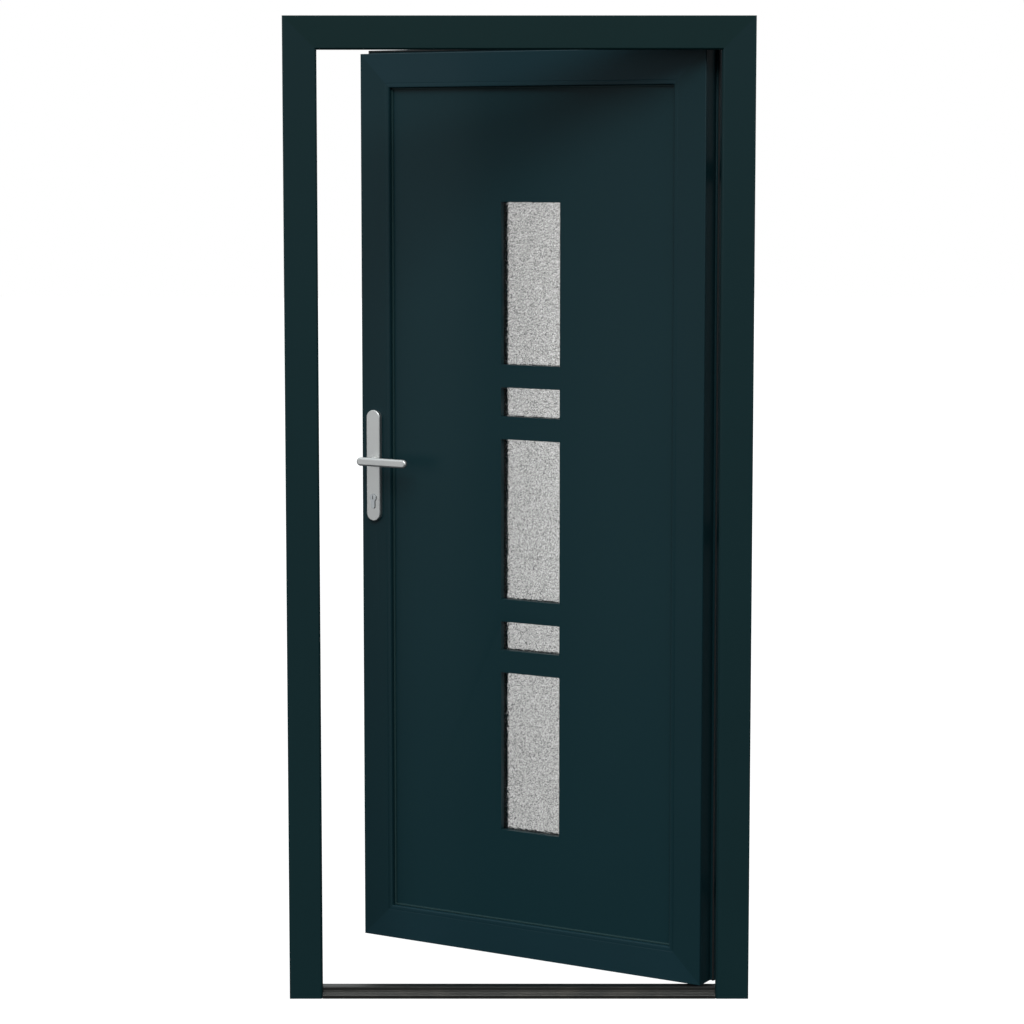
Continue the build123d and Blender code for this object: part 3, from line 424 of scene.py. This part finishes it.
plated, tree, shader = new_material("zinc_plated_steel")
brush = noise(tree, brush_width, 2, stretch=(1, 1, brush_width / brush_length))
gloss(tree, shader, brush, 0.22, 0.42)
shader.inputs["Base Color"].default_value = linear(zinc_plate)
shader.inputs["Metallic"].default_value = 1
dress(["frame_screws", "leaf_screws", "handle_screws", "centre_keep", "upper_keep", "lower_keep"], plated)
dress(["lock_faceplate", "lock_case", "upper_lock_case", "lower_lock_case"], plated)
dress(["upper_drive_rod", "lower_drive_rod", "dead_bolt", "upper_bolt", "lower_bolt", "latch_bolt"], plated)
dress(["follower", "spindle", "cylinder_body", "cylinder_plug"], plated)

# Handles: levers on long plates on both sides, held by screws through the stile and joined by the spindle.
# They are cast aluminium, blasted and anodised to a pale satin grey.
satin_colour = "#c4c5c4"
blast_grit = 0.0008
blast_relief = 0.0001

satin, tree, shader = new_material("satin_anodised")
grit = noise(tree, blast_grit, 2)
gloss(tree, shader, grit, 0.38, 0.5)
emboss(tree, shader, grit, 0.1, blast_relief)
shader.inputs["Base Color"].default_value = linear(satin_colour)
shader.inputs["Metallic"].default_value = 1
dress(["outer_handle_plate", "inner_handle_plate", "outer_lever", "inner_lever"], satin)

# Stage: a pale floor and a white surround, lit softly from overhead and by a broad key light from the front.
# The floor and the surround look white, and so they do through the glass.
# They give the door little light from below and from the sides.
floor_width = 60
floor_drop = 0.0005
floor_colour = "#ffffff"
floor_return = "#3c3e40"
room_colour = "#f7fdff"
horizon_strength = 0.3
zenith_strength = 1.6
key_strength = 2
key_spread = math.radians(30)
key_way = Vector((0.1, 0.76, -0.64))
fill_strength = 0.7
fill_spread = math.radians(40)
fill_way = Vector((-0.45, -0.7, -0.55))
softbox_watts = 40
softbox_size = 3
softbox_place = (-5.5, -2.6, 1.2)
softbox_way = Vector((0.88, 0.46, 0))
sensor_mm = 36
lens_mm = 103.391
lens_shift = -0.0435
camera_place = (-0.015, -6.163, 1.803)
camera_pitch = math.radians(90 - 6.153)

scene = bpy.context.scene
scene.view_settings.view_transform = "Standard"


def seen_and_lit(tree, seen, lit, output):
    """Show one shader to the camera, also through glass, and let the other one light the door."""
    ray = add_node(tree, "ShaderNodeLightPath").outputs
    looks = {0: ray["Is Camera Ray"], 1: ray["Is Transmission Ray"]}
    either = add_node(tree, "ShaderNodeMath", {"operation": "MAXIMUM"}, links=looks)
    both = add_node(tree, "ShaderNodeMixShader", links={"Fac": either.outputs["Value"], 1: lit, 2: seen})
    tree.links.new(both.outputs["Shader"], output.inputs["Surface"])


def add_light(name, kind, strength, way):
    """A lamp that shines along a direction."""
    lamp = bpy.data.lights.new(name, kind)
    lamp.energy = strength
    stand = bpy.data.objects.new(name, lamp)
    stand.rotation_euler = way.to_track_quat("-Z", "Y").to_euler()
    scene.collection.objects.link(stand)
    return stand


bpy.ops.object.select_all(action="DESELECT")
bpy.ops.mesh.primitive_plane_add(size=floor_width, location=(0, 0, -floor_drop))
floor = bpy.context.object
floor.name = "floor"
pale, tree, shader = new_material("pale_floor")
shader.inputs["Base Color"].default_value = linear(floor_return)
shader.inputs["Roughness"].default_value = 0.9
shader.inputs["Emission Color"].default_value = linear(floor_colour)
shader.inputs["Emission Strength"].default_value = 1
dull = add_node(tree, "ShaderNodeBsdfDiffuse", values={"Color": linear(floor_return)})
seen_and_lit(tree, shader.outputs["BSDF"], dull.outputs["BSDF"], tree.nodes["Material Output"])
floor.data.materials.append(pale)

world = bpy.data.worlds.new("bright_room")
scene.world = world
world.use_nodes = True
tree = world.node_tree
room = tree.nodes["Background"]
room.inputs["Color"].default_value = linear(room_colour)
way = add_node(tree, "ShaderNodeTexCoord")
height = add_node(tree, "ShaderNodeSeparateXYZ", links={"Vector": way.outputs["Generated"]})
overhead = add_node(
    tree,
    "ShaderNodeMapRange",
    values={"To Min": horizon_strength, "To Max": zenith_strength},
    links={"Value": height.outputs["Z"]},
)
tree.links.new(overhead.outputs["Result"], room.inputs["Strength"])
backdrop = add_node(tree, "ShaderNodeBackground", values={"Color": linear(floor_colour)})
seen_and_lit(tree, backdrop.outputs["Background"], room.outputs["Background"], tree.nodes["World Output"])

key = add_light("key", "SUN", key_strength, key_way)
key.data.angle = key_spread
fill = add_light("fill", "SUN", fill_strength, fill_way)
fill.data.angle = fill_spread
softbox = add_light("softbox", "AREA", softbox_watts, softbox_way)
softbox.data.shape = "SQUARE"
softbox.data.size = softbox_size
softbox.location = softbox_place
softbox.visible_camera = False

camera_data = bpy.data.cameras.new("camera")
camera_data.sensor_width = sensor_mm
camera_data.lens = lens_mm
camera_data.shift_y = lens_shift
camera = bpy.data.objects.new("camera", camera_data)
camera.location = camera_place
camera.rotation_euler = (camera_pitch, 0, 0)
scene.collection.objects.link(camera)
scene.camera = camera
